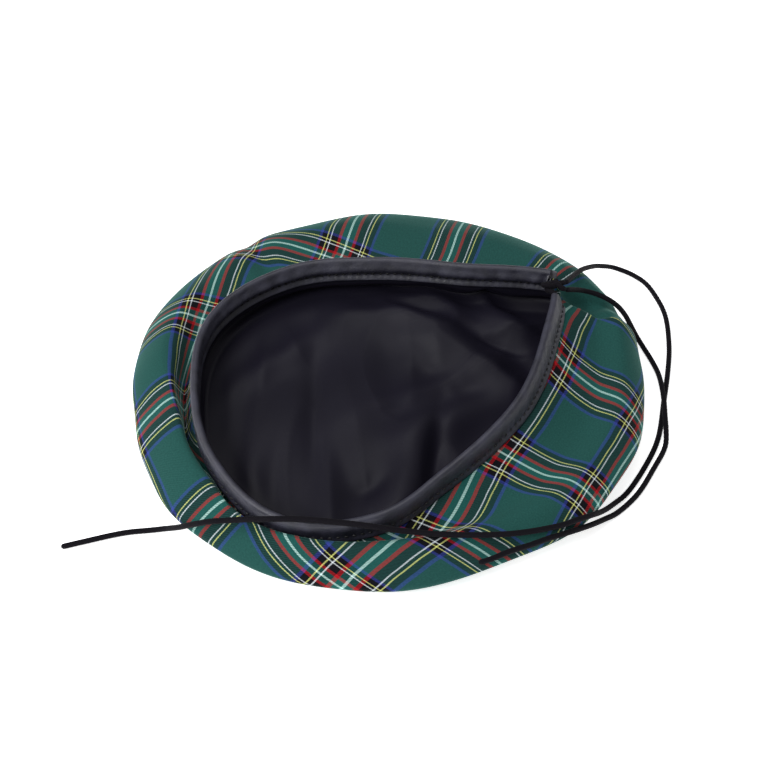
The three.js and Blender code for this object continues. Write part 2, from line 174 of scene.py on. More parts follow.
def tube_skin(run, round_places):
    """The side faces of a tube with a ring of points at each run, and each corner's flat place."""
    sides = len(round_places) - 1
    faces, flat = [], []
    for i in range(len(run) - 1):
        for j in range(sides):
            k = (j + 1) % sides
            faces.append((i * sides + j, i * sides + k, (i + 1) * sides + k, (i + 1) * sides + j))
            u0, u1 = round_places[j], round_places[j + 1]
            flat += [(u0, run[i]), (u1, run[i]), (u1, run[i + 1]), (u0, run[i + 1])]
    return faces, flat


def cord_skin(run, sides):
    """The faces of a cord with a ring of points at each run, closed at both ends, and their flat places."""
    faces, flat = tube_skin(run, np.arange(sides + 1) / sides)
    last = len(run) - 1
    for row, order in ((0, -1), (last, 1)):
        faces.append(tuple(row * sides + j for j in range(sides))[::order])
        flat += [(0.5, run[row])] * sides
    return faces, flat


def braided_tube(line, thickness):
    """A braided cord along a line, with rounded ends. Returns points, faces and flat places."""
    way = unit(np.gradient(line, axis=0))
    side = unit(np.cross(way[0], [0.3, 0.2, 1.0]))
    frames = []
    for step in way:
        side = unit(side - step * np.dot(side, step))
        frames.append((side, np.cross(step, side)))
    run = run_along(line)
    turn = 2 * np.pi * np.arange(cord_sides) / cord_sides
    points = []
    for place, (first, second), along in zip(line, frames, run):
        lay = 2 * np.pi * along / braid_repeat
        strand = np.maximum(np.sin(lay + braid_strands * turn), np.sin(lay - braid_strands * turn))
        to_end = min(along, run[-1] - along) / (0.5 * thickness)
        rounded = max(math.sqrt(1 - max(1 - to_end, 0) ** 2), smallest_tip)
        radius = (thickness / 2 + braid_depth * (strand - braid_mean)) * rounded
        ring = np.cos(turn)[:, None] * first + np.sin(turn)[:, None] * second
        points.append(place + radius[:, None] * ring)
    return np.concatenate(points), *cord_skin(run, cord_sides)


def make_piece(name, points, faces, flat, materials):
    """A smooth mesh in metres at the origin, with its faces out and its flat places as a UV map."""
    mesh = bpy.data.meshes.new(name)
    mesh.from_pydata((np.asarray(points) * 0.001).tolist(), [], [list(face) for face in faces])
    layer = mesh.uv_layers.new(name="flat")
    layer.data.foreach_set("uv", np.asarray(flat, dtype=np.float32).ravel())
    shell = bmesh.new()
    shell.from_mesh(mesh)
    bmesh.ops.recalc_face_normals(shell, faces=shell.faces)
    shell.to_mesh(mesh)
    shell.free()
    mesh.polygons.foreach_set("use_smooth", [True] * len(mesh.polygons))
    for material in materials:
        mesh.materials.append(material)
    made = bpy.data.objects.new(name, mesh)
    scene.collection.objects.link(made)
    return made


# Dyed cotton braid: nearly black and matt, with a slight fuzz that catches light.
braid, tree = new_material("black_cotton_braid")
flat_place = add(tree, "ShaderNodeUVMap", uv_map="flat")
split = add(tree, "ShaderNodeSeparateXYZ", {0: flat_place})
yarn_along = add(tree, "ShaderNodeMath", {0: split.outputs[1], 1: 2.2}, operation="MULTIPLY")
yarn_round = add(tree, "ShaderNodeMath", {0: split.outputs[0], 1: 9.0}, operation="MULTIPLY")
yarn_place = add(tree, "ShaderNodeCombineXYZ", {0: yarn_round, 1: yarn_along})
yarn = add(tree, "ShaderNodeTexNoise", {"Vector": yarn_place, "Scale": 1.6, "Detail": 2.0})
yarn_colour = add(tree, "ShaderNodeValToRGB", {0: yarn}, stops=[(0, "#060507"), (1, "#15121a")])
yarn_bump = add(tree, "ShaderNodeBump", {"Height": yarn, "Strength": 0.5, "Distance": 0.0002})
cotton = add(tree, "ShaderNodeBsdfPrincipled", {
    "Base Color": yarn_colour, "Roughness": 0.85, "Normal": yarn_bump,
    "Specular IOR Level": 0.12, "Sheen Weight": 0.02, "Sheen Roughness": 0.5,
})
add(tree, "ShaderNodeOutputMaterial", {"Surface": cotton})

for name, route, node_name, length in [
    ("cord_long", LONG_END, "drawstring_long", 0.586),
    ("cord_short", SHORT_END, "drawstring_short", 0.286),
]:
    line = even_line(route, cord_step)
    free_end = make_piece(name, *braided_tube(line, cord_thickness), [braid])
    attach(free_end, "root")
    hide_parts(node_name)


# Half knot at the back notch
# The two ends come out of the fold of the binding, wrap once round each other and part. It is
# the same cord, pulled tight enough to stay between the binding's cut ends.
knot_middle = np.array([86.9, 37.5, 47.4])
strand_step = 0.6
# Wound round each other, the strands look a little fuller than the cord.
strand_thickness = 3.0
FIRST_STRAND = [[2.4, 7.6, -2.6], [0.4, 4.6, -2.2], [-3.0, 2.6, -1.4], [-5.6, 0.6, -0.2],
                [-4.4, -1.1, 1.0], [-1.2, -1.2, 0.6], [1.4, 0.6, -0.4], [3.6, 1.5, 0.4], [6.1, 1.5, 0.8]]
SECOND_STRAND = [[0.4, -6.4, -1.4], [-1.4, -3.6, -1.2], [-3.6, -1.6, -1.4], [-3.0, 0.6, -0.6],
                 [-0.6, 1.2, 0.8], [1.6, -0.4, 1.2], [3.8, -1.7, -0.2], [6.1, -2.0, -1.2]]
knot_points, knot_faces, knot_flat = [], [], []
for strand in (FIRST_STRAND, SECOND_STRAND):
    strand_line = even_line(np.array(strand) + knot_middle, strand_step)
    points, faces, flat = braided_tube(strand_line, strand_thickness)
    shift = sum(len(part) for part in knot_points)
    knot_points.append(points)
    knot_faces += [tuple(corner + shift for corner in face) for face in faces]
    knot_flat += flat
knot = make_piece("knot", np.concatenate(knot_points), knot_faces, knot_flat, [braid])
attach(knot, "root")
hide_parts("drawstring_knot")


# Underside ring
# The wide tartan strip between the crown seam and the head opening, of brushed woollen twill. It
# is gathered into the binding at one edge and sewn to the round crown at the other.
crown_radius = 131
opening_radius = 90
opening_middle = np.array([-6.0, -29.0])
crown_middle = np.array([1.0, 1.9])
rim_height = 50
cloth_wall_thickness = 1.2
binding_width = 13
leather_wall = 1.0
piece_gap = 0.3
cloth_in_binding = 7
ring_columns = 420
ring_steps = 64
# One row for each section of the cap, counterclockwise from the back notch, as in the solids.
COLUMNS = (
    "rim_at rim_out rim_up lean edge_at edge_out edge_up "
    "valley_in valley_up lip_in lip_up tuck seam_up"
).split()
SECTIONS = [
    [37.9, 1.358, 0.98, 6, 25, 1.012, 0.38, 0.40, 0.62, 0.74, 0.60, 0.045, 0.12],
    [60, 1.035, 1.00, 2, 62, 0.990, 0.36, 0.34, 0.64, 0.74, 0.58, 0.045, 0.12],
    [90, 0.953, 1.00, 0, 91, 0.997, 0.34, 0.34, 0.62, 0.74, 0.58, 0.045, 0.12],
    [120, 1.032, 0.97, 0, 126, 1.000, 0.34, 0.30, 0.58, 0.72, 0.58, 0.05, 0.11],
    [150, 1.073, 0.92, 0, 162, 1.018, 0.33, 0.24, 0.52, 0.62, 0.60, 0.06, 0.08],
    [180, 0.998, 0.84, 0, 192, 1.010, 0.32, 0.22, 0.44, 0.50, 0.62, 0.07, 0.06],
    [210, 0.990, 0.74, 0, 217, 1.042, 0.28, 0.26, 0.38, 0.50, 0.54, 0.075, 0.05],
    [240, 0.983, 0.64, 0, 243, 1.054, 0.25, 0.32, 0.32, 0.55, 0.47, 0.075, 0.05],
    [270, 0.832, 0.62, 2, 270, 1.022, 0.24, 0.26, 0.28, 0.48, 0.46, 0.075, 0.05],
    [300, 0.678, 0.70, 6, 293, 0.990, 0.24, 0.36, 0.36, 0.66, 0.45, 0.06, 0.07],
    [330, 0.690, 0.80, 12, 314, 1.008, 0.28, 0.46, 0.43, 0.76, 0.48, 0.055, 0.08],
    [360, 0.832, 0.90, 22, 338, 1.004, 0.32, 0.48, 0.50, 0.78, 0.53, 0.05, 0.10],
    [380, 1.003, 0.96, 27, 357, 0.998, 0.35, 0.48, 0.54, 0.78, 0.56, 0.045, 0.11],
    [393.6, 1.228, 0.98, 24, 374, 1.004, 0.37, 0.46, 0.58, 0.76, 0.61, 0.045, 0.12],
]
section_table = {name: np.array([row[i] for row in SECTIONS]) for i, name in enumerate(COLUMNS)}
section_count = len(SECTIONS)
# How much deeper the loose cloth of the valley sinks than the solids have it, in mm.
VALLEY_SINK = [0, 0, 0, 0, 3, 7, 8, 7, 5, 1.5, 0, 0, 0, 0]
# How much nearer to the binding the lip of the valley stands than in the solids, in mm.
LIP_NEARER = [0, 0, 0, 0, 2, 5, 6, 6, 3, 0, 0, 0, 0, 0]
# How far the lip rises where it stands nearer, as a share of the way that it comes nearer.
lip_rise = 0.3
# Pinched pleats in the edge: the crease at the back seam and one at the far left, as degrees,
# width in degrees, dent as a share of the crown's radius and sink as a share of the rim's height.
PLEATS = [[379, 3.0, 0.004, 0.09], [128.4, 3.5, 0.010, 0.05]]
# How the strip was cut from the flat cloth, a row for each section from one before the notch to
# one past it: its turn about the strip's middle in degrees, how much more it turns towards the
# crown seam, its distance from that middle beside the binding, its width and its bow, in mm.
CUT = np.array([
    [64, 0, 160, 29, -0.5], [69, 0, 160, 34, -0.5], [88.5, -0.5, 141, 41, -4],
    [106.5, 0, 138.5, 53, -4.5], [126.5, 0.5, 128.5, 61.5, 0.5], [146.5, 1, 122, 62.5, 6.5],
    [166, -1, 110, 63, 10], [182, -2, 125.5, 41, 2.5], [201.5, -2, 116, 35, 2.5],
    [221, -1, 93, 46, 8.5], [239.5, -0.5, 77, 48.5, 5], [261, 0, 75.5, 57, 5],
    [284.5, 0, 79, 61.5, 3], [300.5, 0, 86.5, 59, 1], [314, 0, 100, 52, 0.5],
    [320.5, 0, 101, 47, 0.5],
])
cut_middle = np.array([113.0, 73.4])


def between_rows(before, start, end, after, share):
    """A smooth value between two rows of a table, from the rows on both sides."""
    rise, fall = (end - before) / 2, (after - start) / 2
    square, cube = share ** 2, share ** 3
    return (start * (2 * cube - 3 * square + 1) + rise * (cube - 2 * square + share)
            + end * (3 * square - 2 * cube) + fall * (cube - square))


def column_at(name, station, turns_round=True):
    """One column of the sections at a station. Past the ends the rows go on round the cap."""
    station = np.asarray(station, float)
    row = np.floor(station).astype(int)

    def value(index):
        if not turns_round:
            return section_table[name][np.clip(index, 0, section_count - 1)]
        turns = np.floor_divide(index, section_count)
        wrapped = section_table[name][index - turns * section_count]
        return wrapped + 360 * turns if name.endswith("_at") else wrapped

    return between_rows(value(row - 1), value(row), value(row + 1), value(row + 2), station - row)


def rim_point(station):
    """The top middle line of the binding, from one cut end to the other."""
    at = np.radians(column_at("rim_at", station, False))
    out = opening_radius * column_at("rim_out", station, False)
    up = rim_height * column_at("rim_up", station, False)
    return np.stack([opening_middle[0] + out * np.cos(at), opening_middle[1] + out * np.sin(at), up], -1)


def rim_frame(station):
    """The binding's own place at a station: its top, and its directions outwards and up its width."""
    station = np.asarray(station, float)
    last = section_count - 1
    near = 0.05
    along = rim_point(np.minimum(station + near, last)) - rim_point(np.maximum(station - near, 0))
    along[..., 2] = 0
    along = unit(along)
    out = np.stack([along[..., 1], -along[..., 0], 0 * along[..., 0]], -1)
    lean = np.radians(column_at("lean", station, False))[..., None]
    up = np.array([0, 0, 1]) * np.cos(lean) - out * np.sin(lean)
    across = unit(np.cross(along, up))
    return {"top": rim_point(station), "across": across, "up": up}


def binding_point(place, outward, below):
    """A point of the binding's section: how far outwards and how far below the top line."""
    return place["top"] + place["across"] * outward - place["up"] * below


def crown_point(direction, out, height):
    """A point at a height above the surface, out from the middle of the crown."""
    point = direction * np.asarray(out)[..., None]
    point[..., :2] += crown_middle
    point[..., 2] += height
    return point


def pleats_at(degrees):
    """How far the pinched pleats dent and sink the cloth at a direction from the cap's middle."""
    dents, sinks = 0, 0
    for at, width, dent, sink in PLEATS:
        away = (degrees - at + 180) % 360 - 180
        nearness = np.exp(-((away / width) ** 2))
        dents = dents + dent * crown_radius * nearness
        sinks = sinks + sink * rim_height * nearness
    return dents, sinks


def sections_at(station):
    """The places of the cap's sections that the ring, the crown and the lining share."""
    station = np.asarray(station, float)
    closing = np.maximum(station - (section_count - 1), 0)[..., None]
    near_end = rim_frame(np.minimum(station, section_count - 1))
    far_end = rim_frame(np.zeros_like(station))
    place = {key: near_end[key] * (1 - closing) + far_end[key] * closing for key in near_end}
    for key in ("across", "up"):
        place[key] = unit(place[key])
    edge_at = column_at("edge_at", station)
    dent, sink = pleats_at(edge_at)
    edge_out = crown_radius * column_at("edge_out", station) - dent
    angle = np.radians(edge_at)
    direction = np.stack([np.cos(angle), np.sin(angle), 0 * angle], -1)
    edge = crown_point(direction, edge_out, rim_height * column_at("edge_up", station) - sink / 2)
    bottom = binding_point(place, 0, binding_width)

    def between(share, height):
        point = bottom + (edge - bottom) * share[..., None]
        point[..., 2] = height
        return point

    valley = between(column_at("valley_in", station), rim_height * column_at("valley_up", station) - sink)
    lip = between(column_at("lip_in", station), rim_height * column_at("lip_up", station) - sink)
    seam_out = edge_out - crown_radius * column_at("tuck", station)
    seam = crown_point(direction, seam_out, rim_height * column_at("seam_up", station))
    return {"frame": place, "direction": direction, "valley": valley, "lip": lip, "edge": edge,
            "seam": seam, "seam_out": seam_out}


def round_value(values, station):
    """A smooth value from one number for each section, going round the cap."""
    row = np.floor(station).astype(int)
    rows = [np.take(values, row + k, mode="wrap") for k in (-1, 0, 1, 2)]
    return between_rows(*rows, station - row)


def ring_lines(sections, shares):
    """From inside the binding, down the valley, over the lip and the edge to the seam."""
    clear = cloth_wall_thickness / 2 + piece_gap
    place = sections["frame"]
    points = [
        binding_point(place, 0, binding_width - cloth_in_binding),
        binding_point(place, 0, binding_width),
        binding_point(place, clear / 2, binding_width + clear),
        sections["valley"], sections["lip"], sections["edge"], sections["seam"],
    ]
    return curve_through(points, shares)


def soft_noise(x, y, size, seed):
    """A smooth wandering value of about -1 to 1, with bumps of about that size."""
    wave_count, shortest, longest, strength = 7, 1.4, 3.2, 3.2
    chance = np.random.default_rng(seed)
    total = 0
    for _ in range(wave_count):
        turn = chance.uniform(0, 2 * np.pi)
        pitch = 2 * np.pi / (size * chance.uniform(shortest, longest))
        total = total + np.cos((x * math.cos(turn) + y * math.sin(turn)) * pitch + chance.uniform(0, 6.3))
    return total / strength


def smooth_share(value, start, end):
    """0 before start, 1 after end, and a soft rise between them."""
    share = np.clip((value - start) / (end - start), 0, 1)
    return share * share * (3 - 2 * share)


def cloth_wall(middle, thickness, pole=None):
    """A wall of even thickness about a middle surface whose lines run from the outside in and go
    once round the cap. Returns points, faces and, for each corner, the line and step it is on."""
    count, steps = middle.shape[:2]
    round_way = np.roll(middle, -1, 0) - np.roll(middle, 1, 0)
    normal = unit(np.cross(round_way, np.gradient(middle, axis=1)))
    points = [(middle + side * thickness * normal).reshape(-1, 3) for side in (0.5, -0.5)]
    wall = count * steps
    if pole is not None:
        points += [np.array([[pole[0], pole[1], pole[2] + side * thickness]]) for side in (0.5, -0.5)]
    faces, corners = [], []

    def face(*places):
        faces.append(tuple(
            2 * wall + side if step == steps else side * wall + (line % count) * steps + step
            for side, line, step in places
        ))
        corners.extend((line, step) for side, line, step in places)

    for i in range(count):
        for j in range(steps - 1):
            face((0, i, j), (0, i, j + 1), (0, i + 1, j + 1), (0, i + 1, j))
            face((1, i, j), (1, i + 1, j), (1, i + 1, j + 1), (1, i, j + 1))
        face((0, i, 0), (0, i + 1, 0), (1, i + 1, 0), (1, i, 0))
        end = steps - 1
        if pole is None:
            face((0, i, end), (1, i, end), (1, i + 1, end), (0, i + 1, end))
        else:
            face((0, i, end), (0, i, steps), (0, i + 1, end))
            face((1, i, end), (1, i + 1, end), (1, i, steps))
    return np.concatenate(points), faces, np.array(corners)


# Brushed woollen twill in a common green tartan. Warp and weft carry the same stripes, and each
# thread shows half the time, so two colours mix where they cross. The nap gives a pale rim.
sett_half = 25.95
# The real diagonal of the weave is about 0.4 mm wide, and is drawn at 0.7 mm so that it shows.
twill_pitch = 0.7
# The threads of loosely woven wool stray by up to about this much from straight lines.
thread_wander = 1.4
# Half of the repeat: where each stripe begins, in mm from the middle of the pale one, and its yarn.
SETT = [
    [0.00, "#c2ebe2"], [0.48, "#1b5852"], [2.90, "#a8161f"], [4.35, "#0f0e14"],
    [7.55, "#e6eef2"], [8.03, "#0f0e14"], [9.28, "#dfe283"], [9.82, "#0f0e14"],
    [12.15, "#33408c"], [13.40, "#224d48"],
]
tartan, tree = new_material("brushed_wool_tartan_twill")
flat_place = add(tree, "ShaderNodeUVMap", uv_map="flat")
wander = add(tree, "ShaderNodeTexNoise", {"Vector": flat_place, "Scale": 0.05, "Detail": 1.0})
wander_off = add(tree, "ShaderNodeVectorMath", {
    0: wander.outputs["Color"], 1: (0.5, 0.5, 0.5),
}, operation="SUBTRACT")
wander_by = add(tree, "ShaderNodeVectorMath", {0: wander_off, "Scale": thread_wander}, operation="SCALE")
cloth_place = add(tree, "ShaderNodeVectorMath", {0: flat_place, 1: wander_by}, operation="ADD")
threads = add(tree, "ShaderNodeSeparateXYZ", {0: cloth_place})
stripes = []
for way in (0, 1):
    folded = add(tree, "ShaderNodeMath", {0: threads.outputs[way], 1: sett_half}, operation="PINGPONG")
    share = add(tree, "ShaderNodeMath", {0: folded, 1: sett_half}, operation="DIVIDE")
    stops = [(offset / sett_half, shade) for offset, shade in SETT]
    stripe = add(tree, "ShaderNodeValToRGB", {0: share}, stops)
    stripe.color_ramp.interpolation = "CONSTANT"
    stripes.append(stripe)
diagonal = add(tree, "ShaderNodeMath", {0: threads.outputs[0], 1: threads.outputs[1]}, operation="ADD")
wale = add(tree, "ShaderNodeMath", {0: diagonal, 1: twill_pitch * math.sqrt(2)}, operation="DIVIDE")
wale_share = add(tree, "ShaderNodeMath", {0: wale}, operation="FRACT")
# The weft comes up over half of each diagonal and goes down again, both with a soft edge.
over = add(tree, "ShaderNodeMapRange", {"Value": wale_share, "From Min": 0.35, "From Max": 0.5})
under = add(tree, "ShaderNodeMapRange", {"Value": wale_share, "From Min": 0.85, "From Max": 1.0})
weft_over = add(tree, "ShaderNodeMath", {0: over, 1: under}, operation="SUBTRACT")
weft_shows = add(tree, "ShaderNodeMapRange", {"Value": weft_over, "To Min": 0.36, "To Max": 0.64})
woven = add(tree, "ShaderNodeMix", {0: weft_shows, 6: stripes[0], 7: stripes[1]}, data_type="RGBA")
nap = add(tree, "ShaderNodeTexNoise", {"Vector": flat_place, "Scale": 1.3, "Detail": 3.0})
nap_shade = add(tree, "ShaderNodeMapRange", {
    "Value": nap, "From Min": 0.3, "From Max": 0.7, "To Min": 0.84, "To Max": 1.12,
})
napped = add(tree, "ShaderNodeVectorMath", {0: woven.outputs[2], "Scale": nap_shade}, operation="SCALE")
ridge = add(tree, "ShaderNodeMath", {0: wale_share, 1: 0.5}, operation="PINGPONG")
relief = add(tree, "ShaderNodeMath", {0: ridge, 1: nap}, operation="ADD")
cloth_bump = add(tree, "ShaderNodeBump", {"Height": relief, "Strength": 0.35, "Distance": 0.00025})
wool = add(tree, "ShaderNodeBsdfPrincipled", {
    "Base Color": napped, "Roughness": 0.9, "Normal": cloth_bump,
    "Specular IOR Level": 0.1, "Sheen Weight": 0.3, "Sheen Roughness": 0.35,
    "Sheen Tint": colour("#9fe0cf"),
})
add(tree, "ShaderNodeOutputMaterial", {"Surface": wool})

# The columns follow the back seam, which runs from the notch to the outline and drifts by about
# half a section in the valley. A few steps of each column lie in and just under the binding, and
# the others follow the free cloth.
seam_station = -0.5
seam_drift = -0.6
tucked_shares = [0, 0.08, 1 / 6, 0.22, 0.28]
step_share = np.r_[tucked_shares, np.linspace(1 / 3, 1, ring_steps - len(tucked_shares))]
drift = seam_drift * smooth_share(step_share, 0.33, 0.55)
from_seam = section_count * np.arange(ring_columns + 1) / ring_columns
near_seam = 1 - smooth_share(np.minimum(from_seam, section_count - from_seam), 0.2, 2.4)
ring_station = seam_station + from_seam[:, None] + drift[None, :] * near_seam[:, None]
taut_middle = np.empty((ring_columns, ring_steps, 3))
ring_middle = np.empty((ring_columns, ring_steps, 3))
for j in range(ring_steps):
    column_station = ring_station[:-1, j] % section_count
    sections = sections_at(column_station)
    taut_middle[:, j] = ring_lines(sections, step_share[j:j + 1])[:, 0]
    sections["valley"][:, 2] -= round_value(VALLEY_SINK, column_station)
    nearer = round_value(LIP_NEARER, column_station)[:, None]
    sections["lip"] += nearer * unit(sections["valley"] - sections["edge"]) * np.array([1, 1, 0])
    sections["lip"][:, 2] += lip_rise * nearer[:, 0]
    ring_middle[:, j] = ring_lines(sections, step_share[j:j + 1])[:, 0]
taut_run = np.linalg.norm(np.diff(taut_middle[:, 2:], axis=1), axis=2).sum(axis=1, keepdims=True)
step_lengths = np.linalg.norm(np.diff(ring_middle, axis=1, prepend=ring_middle[:, :1]), axis=2)
ring_run = np.cumsum(step_lengths, axis=1)
# The flat place is measured from the crown seam, so that the cloth that fills the deeper valley
# comes out of the binding and leaves the pattern where it is.
ring_share = 1 - (ring_run[:, -1:] - ring_run) / taut_run
ring_share = np.concatenate([ring_share, ring_share[:1]])
round_way = np.roll(ring_middle, -1, 0) - np.roll(ring_middle, 1, 0)
ring_normal = unit(np.cross(round_way, np.gradient(ring_middle, axis=1)))
# The near cloth overlaps the far cloth a little along the seam, and the strip has soft waves.
overlap_up, overlap_down, overlap_width = 1.1, -0.9, 0.12
wave_height, wave_size, wave_seed = 0.95, 24, 4
past_seam = np.where(from_seam[:-1] < section_count / 2, from_seam[:-1], from_seam[:-1] - section_count)
off_seam = np.abs(past_seam / overlap_width)
overlap = np.where(past_seam < 0, overlap_up, overlap_down) * off_seam * np.exp(1 - off_seam)
free_cloth = smooth_share(ring_share[:-1], 0.02, 0.2) * (1 - smooth_share(ring_share[:-1], 0.85, 1.0))
waves = wave_height * soft_noise(ring_middle[..., 0], ring_middle[..., 1], wave_size, wave_seed)
facing = np.sign(np.mean(ring_normal[:, ring_steps // 2, 2]))
ring_middle += ring_normal * facing * ((overlap[:, None] + waves) * free_cloth)[..., None]

points, faces, corners = cloth_wall(ring_middle, cloth_wall_thickness)
station = ring_station[corners[:, 0], corners[:, 1]]
share = ring_share[corners[:, 0], corners[:, 1]]
row = np.clip(np.floor(station).astype(int), -1, section_count - 1)
rows = [CUT[np.clip(row + 1 + k, 0, len(CUT) - 1)] for k in (-1, 0, 1, 2)]
cut = between_rows(*rows, (station - row)[:, None])
cut_turn = np.radians(cut[:, 0] + cut[:, 1] * share)
cut_out = cut[:, 2] + cut[:, 3] * share + cut[:, 4] * share ** 2
flat = cut_middle + np.stack([cut_out * np.cos(cut_turn), cut_out * np.sin(cut_turn)], -1)
ring = make_piece("tartan_ring", points, faces, flat, [tartan])
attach(ring, "root")
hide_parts("underside_ring")


# Crown panel
# The round top of the cap, cut from the same tartan. It lies on the surface here, and turns up
# to the seam where it is sewn to the underside ring.
seam_gap = 0.4
crown_turn_up = 15
turn_share = 0.55
crown_columns = 280
turn_steps = 14
flat_steps = 19
crown_grain = math.radians(28)
# The crown is cut elsewhere from the same cloth.
cut_away = 400.0


def turned(x, y, angle):
    """How far places lie along a direction and how far aside of it."""
    return x * math.cos(angle) + y * math.sin(angle), y * math.cos(angle) - x * math.sin(angle)


round_station = section_count * np.arange(crown_columns) / crown_columns
crown_sections = sections_at(round_station)
seam_ends = ring_lines(crown_sections, [0.98, 1.0])
crown_start = seam_ends[:, 1] + seam_gap * unit(seam_ends[:, 1] - seam_ends[:, 0])
flat_radius = crown_sections["seam_out"] - crown_turn_up
crown_low = cloth_wall_thickness / 2
turn_point = crown_point(crown_sections["direction"], flat_radius + crown_turn_up * turn_share, crown_low)
flat_edge = crown_point(crown_sections["direction"], flat_radius, crown_low)
crown_lines = [
    crown_start * (1 - t) ** 2 + turn_point * 2 * t * (1 - t) + flat_edge * t ** 2
    for t in np.linspace(0, 1, turn_steps)
]
crown_lines += [
    crown_point(crown_sections["direction"], flat_radius * t, crown_low)
    for t in np.linspace(0.95, 0.05, flat_steps)
]
crown_pole = [crown_middle[0], crown_middle[1], crown_low]
points, faces, _ = cloth_wall(np.stack(crown_lines, axis=1), cloth_wall_thickness, crown_pole)
corner_points = points[[corner for face in faces for corner in face]]
flat = np.stack(turned(corner_points[:, 0], corner_points[:, 1], crown_grain), -1) + cut_away
crown = make_piece("tartan_crown", points, faces, flat, [tartan])
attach(crown, "root")
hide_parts("crown_panel")


# Lining
# A loose bag of black polyester satin, sewn under the binding's inner edge. It hangs down the
# inside and lies in soft folds over the crown.
lining_wall_thickness = 1.0
lining_floor = 5.5
lining_belly = 6
lining_columns = 420
wall_steps = 22
floor_steps = 44
straight_drop = 3
# The belly hangs at this share of the wall's height. It gives way where the valley sinks behind
# it, and the satin's corner with the crown lies further in.
belly_height = 0.45
belly_gives = 0.8
belly_puff = 0.4
corner_in = 7.2
# Soft folds: the middle, the direction of the length in degrees, the length and the width, all
# as shares of the opening's radius, and the rise as a share of the rim's height.
FOLDS = [
    [-0.10, 0.10, 20, 0.60, 0.42, 0.16], [0.55, 0.45, 145, 0.50, 0.13, 0.14],
    [0.16, -0.42, 75, 0.42, 0.14, 0.13], [-0.30, -0.55, 100, 0.40, 0.15, 0.09],
    [0.42, 0.02, 30, 0.40, 0.12, 0.10],
    [-0.06, -0.10, 104, 0.48, 0.16, 0.05], [-0.34, 0.00, 92, 0.50, 0.07, -0.05],
    [0.46, 0.31, 27, 0.55, 0.08, 0.05], [0.32, -0.25, 82, 0.34, 0.05, -0.06],
    [-0.03, -0.46, 40, 0.10, 0.07, -0.05], [0.70, 0.78, 145, 0.40, 0.07, 0.08],
    [0.62, 0.62, 150, 0.42, 0.06, -0.05], [-0.62, -0.20, 80, 0.45, 0.10, 0.05],
    [-0.55, 0.45, 40, 0.35, 0.09, 0.05], [0.20, 0.75, 170, 0.45, 0.08, 0.05],
]
# How much fuller the loose satin lies than in the rigid solid, and where its folds begin, as a
# share of the way from the corner to the middle.
fold_fullness = 1.3
folds_from = 0.2
# How high the loose satin stands up under the binding at each section, in mm.
PUFF = [13, 18, 20, 18, 14, 8, 3, 0, 0, 0, 0, 0, 3, 8]


def fold_rise(x, y):
    """How far the folds lift the satin at a place."""
    total = 0
    for middle_x, middle_y, turn, length, width, rise in FOLDS:
        dx = x - opening_middle[0] - middle_x * opening_radius
        dy = y - opening_middle[1] - middle_y * opening_radius
        along, aside = turned(dx, dy, math.radians(turn))
        away = (along / (length * opening_radius)) ** 2 + (aside / (width * opening_radius)) ** 2
        total = total + fold_fullness * rise * rim_height * np.exp(-away)
    return total


lining_station = section_count * np.arange(lining_columns) / lining_columns
place = sections_at(lining_station)["frame"]
out_of_binding = -(cloth_wall_thickness / 2 + piece_gap + leather_wall / 2)
start = binding_point(place, out_of_binding, binding_width + piece_gap + lining_wall_thickness / 2)
outward = unit(place["across"] * np.array([1, 1, 0]))
puff = round_value(PUFF, lining_station)
under_start = start - np.array([0, 0, straight_drop])
belly_out = lining_belly - belly_gives * round_value(VALLEY_SINK, lining_station)
belly = start + outward * belly_out[:, None]
belly[:, 2] = lining_floor + (start[:, 2] - lining_floor) * belly_height + belly_puff * puff
corner = start + outward * (lining_belly - corner_in)
corner[:, 2] = lining_floor + puff
wall_lines = curve_through([start, under_start, belly, corner], np.linspace(0, 1, wall_steps))
floor_lines = []
for t in np.linspace(0, 1, floor_steps + 2)[1:-1]:
    point = corner * (1 - t) + np.array([*opening_middle, lining_floor]) * t
    point[:, 2] = lining_floor + puff * (1 - t) ** 2 * (1 + 2 * t * (1 - t))
    point[:, 2] += smooth_share(t, 0, folds_from) * fold_rise(point[:, 0], point[:, 1])
    floor_lines.append(point)
lining_middle = np.concatenate([wall_lines, np.stack(floor_lines, axis=1)], axis=1)
# Sharper small folds where the satin is bunched below the notch and along the far side. The steps
# next to the seam are held by it.
bunch_middle, bunch_turn = (50, 36), math.radians(152)
bunch_length, bunch_width, bunch_rise = 48, 24, 3.2
held_steps = 5
bunch_along, bunch_aside = turned(
    lining_middle[..., 0] - bunch_middle[0], lining_middle[..., 1] - bunch_middle[1], bunch_turn,
)
crease = 1 - 2.2 * np.abs(soft_noise(bunch_along / 2.6, bunch_aside, size=11, seed=21))
bunched = np.exp(-((bunch_along / bunch_length) ** 2) - (bunch_aside / bunch_width) ** 2)
bunched[:, :held_steps] *= np.linspace(0, 0.8, held_steps)
lining_middle[..., 2] += bunch_rise * crease * bunched
# Slight folds where it lies over the crown.
slight_rise = 0.9
slight = 1 - 2 * np.abs(soft_noise(lining_middle[..., 0], lining_middle[..., 1] / 2.2, size=17, seed=33))
lying = smooth_share(np.arange(lining_middle.shape[1]), wall_steps + 2, wall_steps + 12)
lining_middle[..., 2] += slight_rise * slight * lying
lining_pole = lining_middle[:, -1].mean(axis=0).tolist()
points, faces, _ = cloth_wall(lining_middle, lining_wall_thickness, lining_pole)
corner_points = points[[corner for face in faces for corner in face]]

